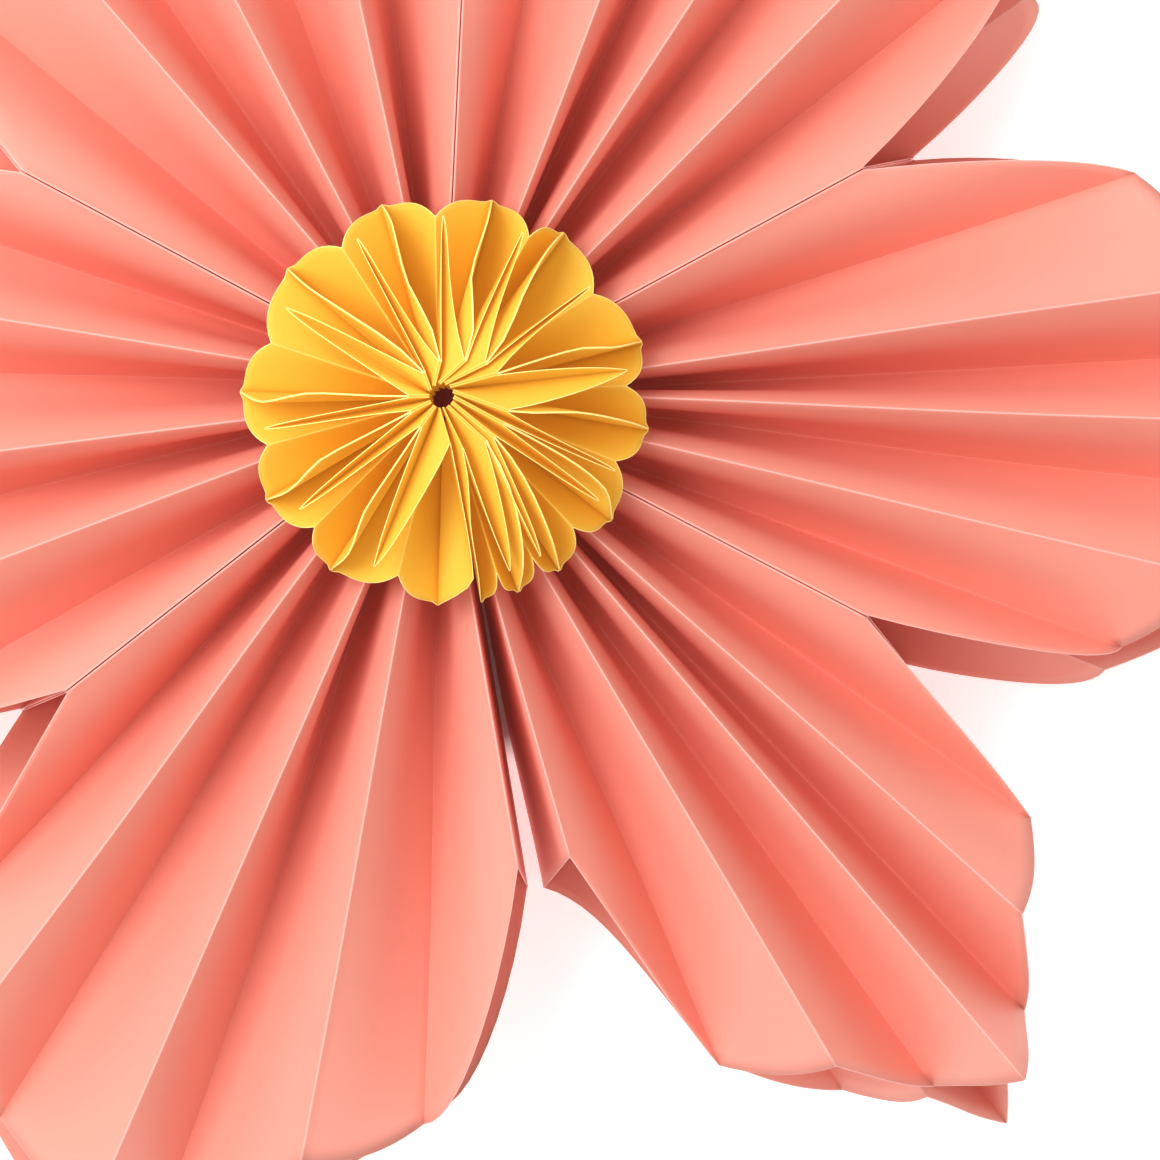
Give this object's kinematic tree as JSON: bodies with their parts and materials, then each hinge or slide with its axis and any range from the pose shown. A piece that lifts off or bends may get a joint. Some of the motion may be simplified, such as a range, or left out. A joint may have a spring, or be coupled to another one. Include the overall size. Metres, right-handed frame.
{
  "type": "giant paper flower",
  "caption": "Large paper flower of pleated coral petals with a ring of small yellow folded cells on its hub, lying on its back.",
  "frame": {"origin": "the flower's axis, through the holes in its two hubs, at the surface that its back ridges lie on", "axes": "+Z out of the flower's front, +X towards the right petal and +Y up the flower's face"},
  "size_m": [0.5305, 0.4818, 0.1233],
  "materials": {
    "coral_card": "matt coral card, scored and folded",
    "yellow_card": "matt golden yellow card, scored and folded, with pale cut edges"
  },
  "bodies": {
    "root": {"petal_right": "coral_card", "petal_upper_right": "coral_card", "petal_upper_left": "coral_card", "petal_left": "coral_card", "petal_lower_left": "coral_card", "petal_lower_right": "coral_card", "centre_cell_1": "yellow_card", "centre_cell_2": "yellow_card", "centre_cell_3": "yellow_card", "centre_cell_4": "yellow_card", "centre_cell_5": "yellow_card", "centre_cell_6": "yellow_card", "centre_cell_7": "yellow_card", "centre_cell_8": "yellow_card", "centre_cell_9": "yellow_card", "centre_cell_10": "yellow_card", "centre_cell_11": "yellow_card", "centre_cell_12": "yellow_card", "centre_cell_13": "yellow_card"}
  },
  "joints": []
}
